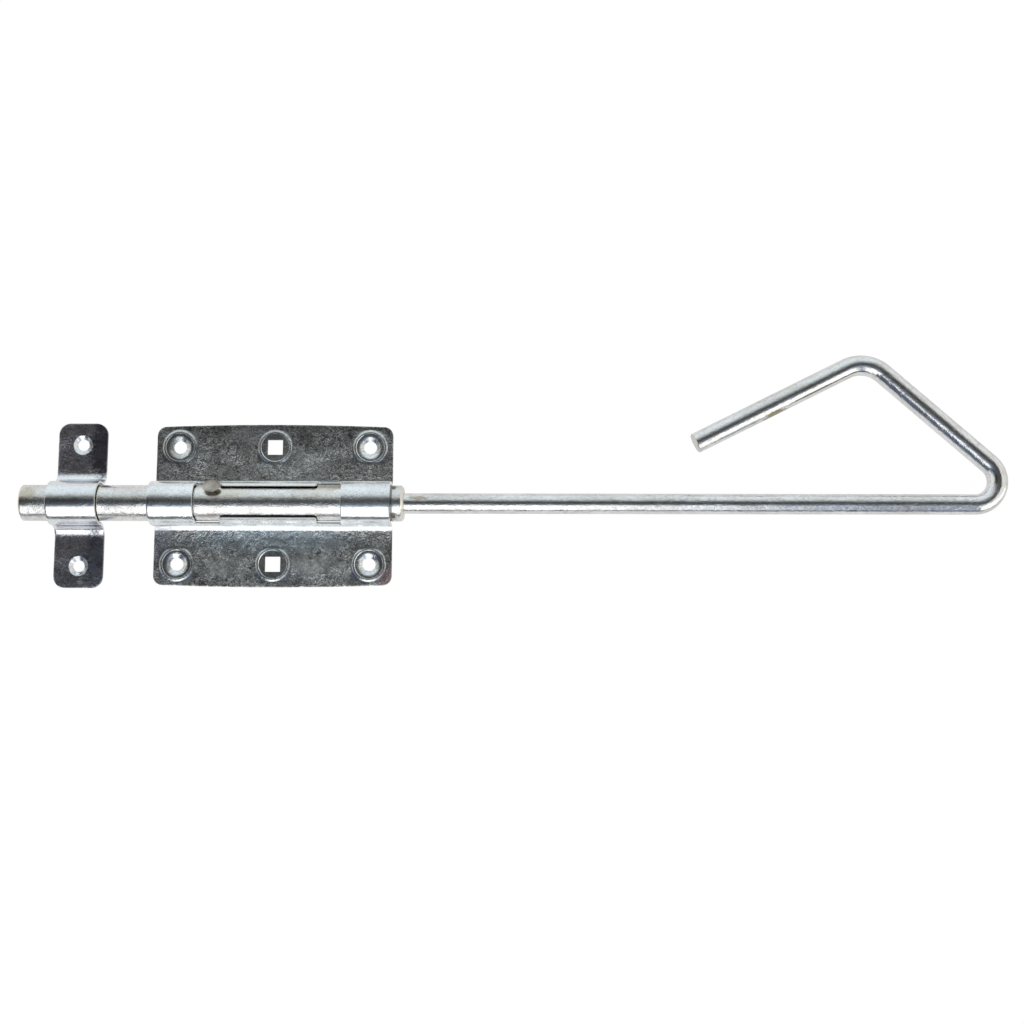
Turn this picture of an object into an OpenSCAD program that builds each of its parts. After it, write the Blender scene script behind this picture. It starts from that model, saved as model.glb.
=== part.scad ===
// Long sliding gate bolt: folded sheet plate, separate keeper, bolt tube, and a pull rod bent to a handle.
// Millimetres. X runs along the bolt towards the handle, Y towards the side of the handle's loop, Z up from the wall.

// Piece to build

/* [Sheet and channel] */
// Thickness of the sheet of the plate and the keeper
sheet = 1.5; // [1:0.1:3]
// Inner radius of the round channel
channel_inner_radius = 9.25; // [8:0.05:14]
// Height of the bolt's centre line over the wall
axis_height = 9.25; // [8:0.05:14]

/* [Mounting plate] */
// Length of the plate along the bolt
plate_length = 116.5; // [80:0.5:160]
// Width of the plate at its middle
plate_width = 80.5; // [60:0.5:110]
// Rise of the long edges over their ends
edge_bow = 1.2; // [0.4:0.1:3]
// Corner radius of the plate
plate_corner = 4.5; // [1:0.5:8]
// Radius on top of the folds between flange and channel
plate_fold = 2; // [1:0.1:6]

/* [Window in the channel] */
// Length of the left arch, flush with the plate's end
left_arch_length = 22.2; // [14:0.1:32]
// Length of the right arch, flush with the plate's end
right_arch_length = 24; // [14:0.1:32]
// Length of each side lip
lip_length = 46.8; // [20:0.1:56]
// Gap between the left arch and the lips
left_notch = 12; // [6:0.1:20]
// Angle from the top to the edge of a lip
lip_angle = 52; // [40:1:70]
// Corner radius of the lips, seen from above
lip_corner = 1.4; // [0.5:0.1:4]
// Height of the floor of the notches over the wall
notch_floor = 8.8; // [6:0.1:9]
// Corner radius at the foot of the notches
notch_corner = 1.8; // [0.5:0.1:4]

/* [Plate holes] */
// Distance between the corner holes along the bolt
hole_spacing_x = 94; // [70:0.5:120]
// Distance between the two rows of holes
hole_spacing_y = 58; // [40:0.5:80]
// Diameter of the round corner holes
round_hole = 6.3; // [4:0.1:9]
// Side of the square middle holes
square_hole = 7.4; // [4:0.1:10]
// Outer diameter of the pressed bead around each hole
bead_diameter = 17.4; // [12:0.1:22]
// Height of the bead over the flange
bead_height = 0.4; // [0.2:0.05:0.8]
// Width of the bead's outer slope
bead_slope = 1.2; // [0.5:0.1:2]
// Diameter of the flat seat inside the bead
seat_diameter = 14; // [11.5:0.1:15]
// Depth of the seat under the flange's face
seat_depth = 0.2; // [0.1:0.05:0.5]
// Diameter of the cone at the round holes
cone_diameter = 11.4; // [8:0.1:14]
// Straight rest of the round holes below the cone
cone_rest = 0.3; // [0.1:0.05:0.8]

/* [Keeper] */
// Width of the keeper along the bolt
keeper_width = 24; // [16:0.5:36]
// Length of the keeper across the bolt
keeper_length = 81.5; // [60:0.5:110]
// Corner radius of the keeper
keeper_corner = 5.6; // [1:0.1:8]
// Clear distance between the plate and the keeper
keeper_gap = 24.7; // [1:0.1:80]
// Radius on top of the keeper's folds
keeper_fold = 5.5; // [2:0.1:8]
// Distance between the keeper's holes
keeper_spacing = 60; // [44:0.5:80]
// Diameter of the keeper's holes
keeper_hole = 5.6; // [4:0.1:8]
// Diameter of the countersink at the keeper's holes
keeper_cone = 9.4; // [7:0.1:12]

/* [Bolt tube] */
// Outer diameter of the tube
tube_diameter = 17.5; // [12:0.1:24]
// Length of the tube
tube_length = 185; // [120:1:260]
// How far the tube stands out of the plate towards the handle
tube_reach = 6.3; // [2:0.05:30]
// Rounding of the tube's left end
nose_radius = 0.8; // [0.5:0.1:3]
// Chamfer of the tube's right end
tail_chamfer = 1.2; // [0.3:0.1:3]

/* [Pull rod and handle] */
// Diameter of the rod
rod_diameter = 10; // [6:0.1:14]
// How far the rod's left end lies inside the tube
rod_recess = 3; // [0.5:0.5:20]
// Sharp corner of the first bend, from the plate's middle
first_corner_x = 372.1; // [250:0.1:450]
// Angle between the first leg and the rod
first_leg_angle = 41.7; // [30:0.1:60]
// Length of the first leg between the sharp corners
first_leg = 108.5; // [60:0.1:160]
// Bend radius of the first corner on the centre line
first_bend = 11.5; // [6:0.1:20]
// Angle between the second leg and the rod
second_leg_angle = 26.6; // [10:0.1:40]
// Length of the second leg from its sharp corner to the tip
second_leg = 94.7; // [40:0.1:140]
// Bend radius of the second corner on the centre line
second_bend = 16.4; // [6:0.1:24]
// Chamfer of the rod's two ends
rod_chamfer = 0.4; // [0.1:0.1:1]

/* [Stop pin] */
// Distance from the left arch to the pin's middle
pin_gap = 8.35; // [6:0.05:10]
// Angle of the pin from the top towards the handle's side
pin_angle = 41; // [30:1:44]
// Diameter of the pin's shank
pin_shank = 3.2; // [2:0.1:4]
// Diameter of the pin's head
pin_head = 8.4; // [5:0.1:10]
// Distance from the bolt's centre line to the underside of the head
pin_seat = 10.9; // [10.9:0.05:12]
// Height of the straight rim of the head
pin_rim = 0.5; // [0.2:0.1:1.5]
// Height of the dome over the rim
pin_dome = 1; // [0.4:0.1:2]

/* [Clearances] */
// Radial clearance of the rod in the tube
rod_clearance = 0.05; // [0.02:0.01:0.1]
// Radial clearance of the pin in the tube's hole
pin_clearance = 0.02; // [0.01:0.01:0.1]
// Clearance between the pin's end and the groove in the rod
groove_clearance = 0.2; // [0.1:0.05:0.4]
// Depth of the groove in the rod
groove_depth = 0.9; // [0.5:0.1:1.5]

/* [Hidden] */
$fn = 96;
// overrun of every cut past the face it opens
over = 1;
channel_outer_radius = channel_inner_radius + sheet;
channel_top = axis_height + channel_outer_radius;
plate_end = plate_length / 2;
window_left = -plate_end + left_arch_length;
window_right = plate_end - right_arch_length;
lip_left = window_left + left_notch;
lip_right = lip_left + lip_length;
// inner edge of the lips, seen from above
lip_edge = channel_inner_radius * sin(lip_angle);
// the long edges are arcs with this radius
bow_radius = (plate_end * plate_end + edge_bow * edge_bow) / (2 * edge_bow);
bow_centre = bow_radius - plate_width / 2;
bow_facets = 3600;
// the corner circles start a hair outside the edges, so that they cross them cleanly
corner_lead = 0.02;
corner_x = plate_end - plate_corner + corner_lead;
corner_y = sqrt(bow_radius * bow_radius - corner_x * corner_x) - bow_centre - plate_corner + corner_lead;
bead_radius = bead_diameter / 2;
seat_radius = seat_diameter / 2;
// the bead's ring goes this far into the sheet, so that the two join into one solid
bead_root = 0.2;
tube_radius = tube_diameter / 2;
tube_right = plate_end + tube_reach;
tube_left = tube_right - tube_length;
keeper_x = -plate_end - keeper_gap - keeper_width / 2;
pin_x = window_left + pin_gap;
rod_radius = rod_diameter / 2;
bore_radius = rod_radius + rod_clearance;
// the ball at the end of a bend stands out by a hair, so that bend and leg join into one solid
joint_swell = 0.02;
rod_left = tube_left + rod_recess;
groove_radius = rod_radius - groove_depth;
groove_width = pin_shank + 2 * groove_clearance;
pin_end = groove_radius + groove_clearance;
first_turn = 180 - first_leg_angle;
second_turn = first_leg_angle + second_leg_angle;
first_tangent = first_bend * tan(first_turn / 2);
second_tangent = second_bend * tan(second_turn / 2);
dome_radius = (pin_head * pin_head / 4 + pin_dome * pin_dome) / (2 * pin_dome);

// Carries a drawing of the cross-section (across, up) along X from one place to another
module along_x(from, to) {
    translate([from, 0, 0])
        rotate([90, 0, 90])
            linear_extrude(height = to - from)
                children();
}

// Half disc on two walls that flare outwards around the centres of the folds
module hump(radius, flare, fold) {
    fold_y = channel_outer_radius + fold;
    fold_z = sheet + fold;
    intersection() {
        translate([0, axis_height])
            circle(r = radius);
        translate([-radius, axis_height])
            square([2 * radius, radius]);
    }
    translate([-radius, fold_z])
        square([2 * radius, axis_height - fold_z]);
    difference() {
        translate([-fold_y, 0])
            square([2 * fold_y, fold_z]);
        for (side = [-1, 1])
            translate([side * fold_y, fold_z])
                circle(r = flare);
    }
}

// Cross-section of the folded sheet: flange, fold, channel, fold, flange
module folded_section(width, fold) {
    difference() {
        union() {
            translate([-width / 2, 0])
                square([width, sheet]);
            hump(channel_outer_radius, fold, fold);
        }
        hump(channel_inner_radius, fold + sheet, fold);
    }
}

// Outline of the plate: long edges are shallow arcs, corners are round
module plate_outline() {
    difference() {
        intersection() {
            square([plate_length, plate_width], center = true);
            translate([0, -bow_centre])
                circle(r = bow_radius, $fn = bow_facets);
            translate([0, bow_centre])
                circle(r = bow_radius, $fn = bow_facets);
        }
        for (end = [0, 1])
            mirror([end, 0])
                for (side = [0, 1])
                    mirror([0, side])
                        translate([corner_x, corner_y])
                            difference() {
                                square([plate_corner + over, plate_corner + over]);
                                circle(r = plate_corner);
                            }
    }
}

module keeper_outline() {
    inner_width = keeper_width - 2 * keeper_corner;
    inner_length = keeper_length - 2 * keeper_corner;
    square([keeper_width, inner_length], center = true);
    square([inner_width, keeper_length], center = true);
    for (end = [-1, 1])
        for (side = [-1, 1])
            translate([end * inner_width / 2, side * inner_length / 2])
                circle(r = keeper_corner);
}

// Opens the top of the channel between the two lips, with edges square to the sheet
module window_cut() {
    reach = channel_outer_radius + over;
    rise = reach / tan(lip_angle);
    along_x(window_left, window_right)
        translate([0, axis_height])
            polygon([[0, 0], [reach, rise], [reach, reach], [-reach, reach], [-reach, rise]]);
}

// Cuts both walls down to half of the tube's height beside an arch, with a round foot
module notch_cut(from, to) {
    half_depth = channel_outer_radius + plate_fold;
    height = channel_top + over - notch_floor;
    translate([0, half_depth, 0])
        rotate([90, 0, 0])
            linear_extrude(height = 2 * half_depth) {
                translate([from, notch_floor + notch_corner])
                    square([to - from, height - notch_corner]);
                translate([from + notch_corner, notch_floor])
                    square([to - from - 2 * notch_corner, height]);
                for (x = [from + notch_corner, to - notch_corner])
                    translate([x, notch_floor + notch_corner])
                        circle(r = notch_corner);
            }
}

// Rounds the upper corners of the lips, seen from above
module lip_corner_cuts() {
    for (end = [[lip_left, 0], [lip_right, 1]])
        for (side = [0, 1])
            translate([end[0], 0, axis_height])
                mirror([end[1], 0, 0])
                    mirror([0, side, 0])
                        linear_extrude(height = channel_outer_radius + over)
                            difference() {
                                translate([-over, lip_edge - over])
                                    square([over + lip_corner, over + lip_corner]);
                                translate([lip_corner - corner_lead, lip_edge + lip_corner - corner_lead])
                                    circle(r = lip_corner);
                            }
}

// Raised ring around a hole: narrow flat crest, long slope down to the flange
module bead() {
    root_run = bead_root * bead_slope / bead_height;
    translate([0, 0, sheet])
        rotate_extrude()
            polygon([[seat_radius - bead_root, -bead_root], [bead_radius + root_run, -bead_root],
                [bead_radius - bead_slope, bead_height], [seat_radius - bead_root, bead_height]]);
}

module seat_cut() {
    translate([0, 0, sheet - seat_depth])
        cylinder(d = seat_diameter, h = seat_depth + over);
}

module round_hole_cut() {
    seat_cut();
    translate([0, 0, -over])
        cylinder(d = round_hole, h = sheet + over);
    translate([0, 0, cone_rest])
        cylinder(d1 = round_hole, d2 = cone_diameter, h = sheet - seat_depth - cone_rest);
}

module square_hole_cut() {
    seat_cut();
    translate([-square_hole / 2, -square_hole / 2, -over])
        cube([square_hole, square_hole, sheet + over]);
}

module mounting_plate() {
    color([0.72, 0.74, 0.76])
        difference() {
            union() {
                intersection() {
                    along_x(-plate_end, plate_end)
                        folded_section(plate_width, plate_fold);
                    linear_extrude(height = channel_top + over)
                        plate_outline();
                }
                for (side = [-1, 1])
                    for (column = [-1, 0, 1])
                        translate([column * hole_spacing_x / 2, side * hole_spacing_y / 2, 0])
                            bead();
            }
            window_cut();
            notch_cut(window_left, lip_left);
            notch_cut(lip_right, window_right);
            lip_corner_cuts();
            for (side = [-1, 1])
                translate([0, side * hole_spacing_y / 2, 0]) {
                    for (end = [-1, 1])
                        translate([end * hole_spacing_x / 2, 0, 0])
                            round_hole_cut();
                    square_hole_cut();
                }
        }
}

module keeper() {
    color([0.7, 0.72, 0.74])
        translate([keeper_x, 0, 0])
            difference() {
                intersection() {
                    along_x(-keeper_width / 2, keeper_width / 2)
                        folded_section(keeper_length, keeper_fold);
                    linear_extrude(height = channel_top + over)
                        keeper_outline();
                }
                for (side = [-1, 1])
                    translate([0, side * keeper_spacing / 2, 0]) {
                        translate([0, 0, -over])
                            cylinder(d = keeper_hole, h = sheet + over);
                        translate([0, 0, cone_rest])
                            cylinder(d1 = keeper_hole, d2 = keeper_cone, h = sheet - cone_rest);
                        translate([0, 0, sheet])
                            cylinder(d = keeper_cone, h = over);
                    }
            }
}

// Half section of the tube's wall: radius across, length up, round nose at the foot
module tube_wall() {
    difference() {
        translate([bore_radius, 0])
            square([tube_radius - bore_radius, tube_length]);
        translate([tube_radius - nose_radius, nose_radius])
            difference() {
                translate([0, -nose_radius - over])
                    square([nose_radius + over, nose_radius + over]);
                circle(r = nose_radius);
            }
        translate([tube_radius, tube_length])
            polygon([[-tail_chamfer, 0], [0, -tail_chamfer], [over, -tail_chamfer], [over, over],
                [-tail_chamfer, over]]);
    }
}

module bolt_tube() {
    color([0.74, 0.74, 0.72])
        difference() {
            translate([tube_left, 0, axis_height])
                rotate([0, 90, 0])
                    rotate_extrude()
                        tube_wall();
            translate([pin_x, 0, axis_height])
                rotate([-pin_angle, 0, 0])
                    cylinder(d = pin_shank + 2 * pin_clearance, h = tube_radius + over);
        }
}

// Straight rod along X from one place to another
module rod_run(from, to) {
    translate([from, 0, 0])
        rotate([0, 90, 0])
            cylinder(r = rod_radius, h = to - from);
}

// Last stretch of a rod with a chamfered end
module rod_end(from, to) {
    rod_run(from, to - rod_chamfer);
    translate([to - rod_chamfer, 0, 0])
        rotate([0, 90, 0])
            cylinder(r1 = rod_radius, r2 = rod_radius - rod_chamfer, h = rod_chamfer);
}

// Bends the rod to the left and carries what follows to the end of the bend, where a ball joins the two
module rod_bend(radius, turn) {
    translate([0, radius, 0])
        rotate([0, 0, -90])
            rotate_extrude(angle = turn)
                translate([radius, 0])
                    circle(r = rod_radius);
    translate([0, radius, 0])
        rotate([0, 0, turn])
            translate([0, -radius, 0]) {
                sphere(r = rod_radius + joint_swell);
                children();
            }
}

// Groove in which the stop pin's end holds the rod
module groove_cut() {
    translate([pin_x - groove_width / 2, 0, 0])
        rotate([0, 90, 0])
            difference() {
                cylinder(r = rod_radius + over, h = groove_width);
                translate([0, 0, -over])
                    cylinder(r = groove_radius, h = groove_width + 2 * over);
            }
}

module pull_rod() {
    straight_end = first_corner_x - first_tangent;
    color([0.76, 0.77, 0.78])
        translate([0, 0, axis_height])
            difference() {
                union() {
                    mirror([1, 0, 0])
                        rod_end(-straight_end, -rod_left);
                    translate([straight_end, 0, 0])
                        rod_bend(first_bend, first_turn) {
                            leg = first_leg - first_tangent - second_tangent;
                            rod_run(0, leg);
                            translate([leg, 0, 0])
                                rod_bend(second_bend, second_turn)
                                    rod_end(0, second_leg - second_tangent);
                        }
                }
                groove_cut();
            }
}

module stop_pin() {
    color([0.66, 0.68, 0.7])
        translate([pin_x, 0, axis_height])
            rotate([-pin_angle, 0, 0]) {
                translate([0, 0, pin_end])
                    cylinder(d = pin_shank, h = pin_seat - pin_end);
                translate([0, 0, pin_seat])
                    cylinder(d = pin_head, h = pin_rim);
                intersection() {
                    translate([0, 0, pin_seat + pin_rim + pin_dome - dome_radius])
                        sphere(r = dome_radius);
                    translate([0, 0, pin_seat + pin_rim])
                        cylinder(d = pin_head, h = pin_dome + over);
                }
            }
}

mounting_plate();
keeper();
bolt_tube();
pull_rod();
stop_pin();
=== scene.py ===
import math
import bpy
import numpy as np
from mathutils import Matrix, Vector


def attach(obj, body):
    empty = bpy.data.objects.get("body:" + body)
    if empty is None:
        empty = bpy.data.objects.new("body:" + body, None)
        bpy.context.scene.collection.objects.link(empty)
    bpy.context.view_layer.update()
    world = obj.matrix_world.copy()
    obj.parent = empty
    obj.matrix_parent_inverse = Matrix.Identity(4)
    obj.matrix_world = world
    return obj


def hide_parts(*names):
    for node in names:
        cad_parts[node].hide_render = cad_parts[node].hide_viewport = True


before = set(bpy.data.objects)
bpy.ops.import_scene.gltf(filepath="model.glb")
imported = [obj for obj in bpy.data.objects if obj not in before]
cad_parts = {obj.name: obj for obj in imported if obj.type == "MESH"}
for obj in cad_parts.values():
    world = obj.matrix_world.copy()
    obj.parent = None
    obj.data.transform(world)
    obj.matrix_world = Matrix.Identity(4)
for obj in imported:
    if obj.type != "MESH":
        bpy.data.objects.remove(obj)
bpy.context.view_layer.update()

# All sizes below are in millimetres and become metres when a mesh is made.
metre = 0.001
creaseDegrees = 35.0  # faces that meet at a larger angle share a sharp edge

# Sizes that the pieces share, the same as the solid model's
bolt = {
    "axisHeight": 9.25,
    "sheet": 1.5,
    "channelRadius": 9.25,  # inner radius of the round channel
    "tubeRadius": 8.75,
    "tubeLeft": -120.45,
    "tubeRight": 64.55,
    "boreRadius": 5.05,
    "rodRadius": 5.0,
}


def putMesh(name, points, quads, tris=None, edge=None, pressed=None, lay=None):
    # points in millimetres and faces as whole arrays go straight into the mesh
    mesh = bpy.data.meshes.new(name)
    points = np.asarray(points, dtype=np.float64) * metre
    quads = np.asarray(quads, dtype=np.int32).reshape(-1, 4)
    tris = np.zeros((0, 3), np.int32) if tris is None else np.asarray(tris, dtype=np.int32).reshape(-1, 3)
    mesh.vertices.add(len(points))
    mesh.vertices.foreach_set("co", points.ravel())
    corners = np.concatenate([quads.ravel(), tris.ravel()])
    starts = np.concatenate([np.arange(len(quads)) * 4, len(quads) * 4 + np.arange(len(tris)) * 3])
    mesh.loops.add(len(corners))
    mesh.loops.foreach_set("vertex_index", corners)
    mesh.polygons.add(len(starts))
    mesh.polygons.foreach_set("loop_start", starts.astype(np.int32))
    mesh.update(calc_edges=True)
    for title, values in (("edge", edge), ("pressed", pressed)):
        if values is not None:
            attribute = mesh.attributes.new(title, "FLOAT", "POINT")
            attribute.data.foreach_set("value", np.asarray(values, dtype=np.float32))
    if lay is not None:
        attribute = mesh.attributes.new("lay", "FLOAT_VECTOR", "POINT")
        attribute.data.foreach_set("vector", (np.asarray(lay) * metre).astype(np.float32).ravel())
    mesh.validate()
    mesh.shade_smooth()
    mesh.set_sharp_from_angle(angle=math.radians(creaseDegrees))
    piece = bpy.data.objects.new(name, mesh)
    bpy.context.scene.collection.objects.link(piece)
    return piece


def standFor(piece, node, body):
    # the piece takes the place of a solid of the frame and moves with its body
    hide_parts(node)
    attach(piece, body)


def gridQuads(rows, columns, wrapRows=False, wrapColumns=False):
    # corner numbers of every cell of a grid of points, row after row
    rowEnd = rows if wrapRows else rows - 1
    columnEnd = columns if wrapColumns else columns - 1
    i, j = np.meshgrid(np.arange(rowEnd), np.arange(columnEnd), indexing="ij")
    nextI, nextJ = (i + 1) % rows * columns, (j + 1) % columns
    return np.stack([i * columns + j, nextI + j, nextI + nextJ, i * columns + nextJ], -1).reshape(-1, 4)


def carryRings(rings, closedLoop=False):
    # rings of points, one after another; open ends get a middle point and a fan of triangles
    count, around = rings.shape[:2]
    points = rings.reshape(-1, 3)
    quads = gridQuads(count, around, wrapRows=closedLoop, wrapColumns=True)
    if closedLoop:
        return points, quads, None
    first, last = len(points), len(points) + 1
    points = np.concatenate([points, rings[0].mean(0)[None], rings[-1].mean(0)[None]])
    j = np.arange(around)
    nextJ = (j + 1) % around
    base = (count - 1) * around
    startFan = np.stack([np.full(around, first), j, nextJ], -1)
    endFan = np.stack([np.full(around, last), base + nextJ, base + j], -1)
    return points, quads, np.concatenate([startFan, endFan])


def spread(stops, steps):
    # evenly spaced values between each pair of stops, with the given number of steps in each stretch
    parts = [np.linspace(a, b, n + 1)[:-1] for a, b, n in zip(stops[:-1], stops[1:], steps)]
    return np.concatenate(parts + [[stops[-1]]])


# Camera: a 50 mm lens almost straight over the bolt, leaning a little towards -Y
viewData = {
    "target": (0.117, -0.00285, 0.0),
    "distance": 0.700,
    "leanDegrees": 7.5,
    "rollDegrees": 0.1,
    "lens": 50.0,
    "sensorWidth": 36.0,
    "clipStart": 0.01,
}


def placeCamera(data):
    # the camera stands at the target plus the distance along its own backward axis
    lean = math.radians(data["leanDegrees"])
    lens = bpy.data.cameras.new("camera")
    lens.lens = data["lens"]
    lens.sensor_width = data["sensorWidth"]
    lens.clip_start = data["clipStart"]
    camera = bpy.data.objects.new("camera", lens)
    back = Vector((0.0, -math.sin(lean), math.cos(lean)))
    right = Vector((0.0, 1.0, 0.0)).cross(back).normalized()
    camera.location = Vector(data["target"]) + back * data["distance"]
    camera.rotation_euler = Matrix((right, back.cross(right), back)).transposed().to_euler()
    camera.rotation_euler.rotate_axis("Z", math.radians(data["rollDegrees"]))
    bpy.context.scene.collection.objects.link(camera)
    bpy.context.scene.camera = camera


def addNode(tree, kind, setup=None, inputs=None):
    # a new node; an input is a number, a colour or another node's output
    node = tree.nodes.new(kind)
    for name, value in (setup or {}).items():
        setattr(node, name, value)
    for name, value in (inputs or {}).items():
        if isinstance(value, bpy.types.NodeSocket):
            tree.links.new(value, node.inputs[name])
        else:
            node.inputs[name].default_value = value
    return node


def calc(tree, operation, value, *others, clamp=False):
    # value joined with each of the others in turn; an absolute value or a sign needs no other
    for other in others or (0.0,):
        setup = {"operation": operation, "use_clamp": clamp}
        value = addNode(tree, "ShaderNodeMath", setup, {0: value, 1: other}).outputs[0]
    return value


def vectorCalc(tree, operation, *given, result="Vector"):
    return addNode(tree, "ShaderNodeVectorMath", {"operation": operation}, dict(enumerate(given))).outputs[result]


def soften(tree, value, low, high, toLow=0.0, toHigh=1.0, shape="SMOOTHSTEP"):
    # value between low and high becomes toLow to toHigh
    return addNode(tree, "ShaderNodeMapRange", {"interpolation_type": shape}, {
        "Value": value, "From Min": low, "From Max": high, "To Min": toLow, "To Max": toHigh}).outputs["Result"]


def ramp(tree, value, low, high, toLow=0.0, toHigh=1.0):
    # the same in a straight line
    return soften(tree, value, low, high, toLow, toHigh, "LINEAR")


def split(tree, vector):
    return addNode(tree, "ShaderNodeSeparateXYZ", None, {0: vector}).outputs


def mixColor(tree, factor, a, b, blend="MIX"):
    # a and b are outputs or colours of three numbers
    a, b = [(*c, 1.0) if isinstance(c, tuple) else c for c in (a, b)]
    setup = {"data_type": "RGBA", "blend_type": blend}
    return addNode(tree, "ShaderNodeMix", setup, {"Factor": factor, "A": a, "B": b}).outputs["Result"]


def placed(tree, vector, scale=(1, 1, 1), turn=(0, 0, 0), shift=(0, 0, 0)):
    return addNode(tree, "ShaderNodeMapping", None, {
        "Vector": vector, "Scale": scale, "Rotation": turn, "Location": shift}).outputs["Vector"]


def noise(tree, vector, scale, detail=2.0, roughness=0.5, distortion=0.0, shift=None):
    return addNode(tree, "ShaderNodeTexNoise", None, {
        "Vector": placed(tree, vector, shift=shift) if shift else vector,
        "Scale": scale, "Detail": detail, "Roughness": roughness, "Distortion": distortion}).outputs["Fac"]


def colorRamp(tree, place, stops, peak):
    # stops are (position, colour); the colours are divided by the brightest value
    node = addNode(tree, "ShaderNodeValToRGB", None, {"Fac": place})
    elements = node.color_ramp.elements
    while len(elements) < len(stops):
        elements.new(0.5)
    for element, (position, color) in zip(elements, stops):
        element.position = position
        element.color = (*[c / peak for c in color], 1.0)
    return node.outputs["Color"]


# Studio: a long white window low on the -Y side, a pale bluish sky on the +Y side, a dark ceiling between them.
# Angles are measured around the X axis from straight up, positive towards +Y.
studio = {
    "peak": 1.6,  # brightest value
    "bands": [
        (-180, (0.80, 0.80, 0.80)),
        (-91, (0.80, 0.80, 0.80)),
        (-90, (0.12, 0.14, 0.16)),
        (-82, (0.12, 0.14, 0.16)),
        (-79, (1.60, 1.60, 1.60)),
        (-29, (1.60, 1.60, 1.60)),
        (-24, (0.45, 0.50, 0.56)),
        (-16, (0.18, 0.22, 0.27)),
        (-4, (0.105, 0.115, 0.13)),
        (6, (0.066, 0.067, 0.064)),
        (17, (0.147, 0.147, 0.138)),
        (27, (0.34, 0.36, 0.37)),
        (38, (0.64, 0.68, 0.70)),
        (50, (0.78, 0.85, 0.88)),
        (75, (0.86, 0.94, 0.98)),
        (90, (0.86, 0.92, 0.95)),
        (180, (0.80, 0.80, 0.80)),
    ],
    # brightest value on the -Y side by the X part of the direction: the window has an end on both sides
    "windowAlong": [
        (-0.41, (0.11, 0.14, 0.20)),
        (-0.36, (1.60, 1.60, 1.60)),
        (0.03, (1.60, 1.60, 1.60)),
        (0.14, (0.95, 1.00, 1.05)),
        (0.24, (0.30, 0.345, 0.43)),
        (0.36, (0.30, 0.345, 0.43)),
        (0.44, (1.60, 1.58, 1.52)),
    ],
    "ceilingRight": (0.44, 0.60),  # the dark ceiling fades out to both ends
    "ceilingLeft": (-0.66, -0.85),
    "endColor": (0.90, 0.90, 0.86),
    "leftShade": (-0.34, -0.18),  # the ceiling is darker towards the keeper
    "leftShadeLevel": 0.35,
    "leftShadeUp": (0.75, 0.95),
    "floorSide": 12.0,
    "floorHeight": -0.00005,
    "floorColor": (0.86, 0.86, 0.86),
    "floorGlow": 1.08,
    "floorInMetal": 0.84,
    "floorFarInMetal": 0.14,  # beyond the paper's end on the -Y side
    "paperEnd": (-0.115, -0.085),
    "paperFarX": (0.05, 0.10, 0.20, 0.26),  # between these places the paper reaches farther
    "floorShadowShare": 0.12,
}


def buildWorld(data):
    world = bpy.data.worlds.new("studio")
    bpy.context.scene.world = world
    world.use_nodes = True
    tree = world.node_tree
    tree.nodes.clear()
    peak = data["peak"]
    way = split(tree, addNode(tree, "ShaderNodeTexCoord").outputs["Generated"])
    angle = calc(tree, "ARCTAN2", way["Y"], way["Z"])
    around = [((degrees + 180.0) / 360.0, color) for degrees, color in data["bands"]]
    color = colorRamp(tree, ramp(tree, angle, -math.pi, math.pi), around, peak)
    # the window's two ends
    stops = [((x + 1.0) / 2.0, tone) for x, tone in data["windowAlong"]]
    along = colorRamp(tree, ramp(tree, way["X"], -1.0, 1.0), stops, peak)
    color = mixColor(tree, calc(tree, "LESS_THAN", angle, 0.0), color, along, "DARKEN")
    # the ceiling's two ends
    openings = [soften(tree, way["X"], *ends) for ends in (data["ceilingRight"], data["ceilingLeft"])]
    endColor = tuple(c / peak for c in data["endColor"])
    color = mixColor(tree, calc(tree, "MAXIMUM", *openings), color, endColor, "LIGHTEN")
    # darker over the keeper
    shade = soften(tree, way["X"], *data["leftShade"], data["leftShadeLevel"], 1.0)
    color = mixColor(tree, soften(tree, way["Z"], *data["leftShadeUp"]), color, shade, "MULTIPLY")
    light = addNode(tree, "ShaderNodeBackground", None, {"Strength": peak, "Color": color})
    addNode(tree, "ShaderNodeOutputWorld", None, {"Surface": light.outputs["Background"]})


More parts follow.
